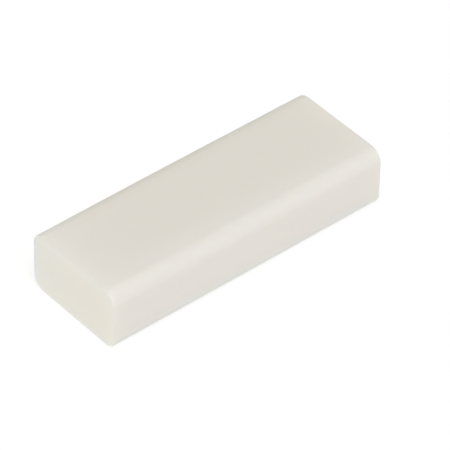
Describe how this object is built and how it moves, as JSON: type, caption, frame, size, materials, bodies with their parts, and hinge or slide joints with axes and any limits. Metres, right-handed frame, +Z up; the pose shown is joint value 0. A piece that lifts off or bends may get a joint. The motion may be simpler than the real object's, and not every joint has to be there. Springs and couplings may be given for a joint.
{
  "type": "chalk block",
  "caption": "Small smooth warm-white chalk block, a solid bar with broadly rounded long edges and square-cut ends, that rests on a wide face and is rubbed on the hands for grip.",
  "frame": {"origin": "centre of the underside, on the surface that the block rests on", "axes": "+X along the 53 mm length, +Y across the 20 mm width with the front side at -Y, +Z up through the 11 mm height"},
  "size_m": [0.053, 0.02, 0.011],
  "materials": {
    "chalk": "satin"
  },
  "bodies": {
    "root": {"chalk_block": "chalk"}
  },
  "joints": []
}
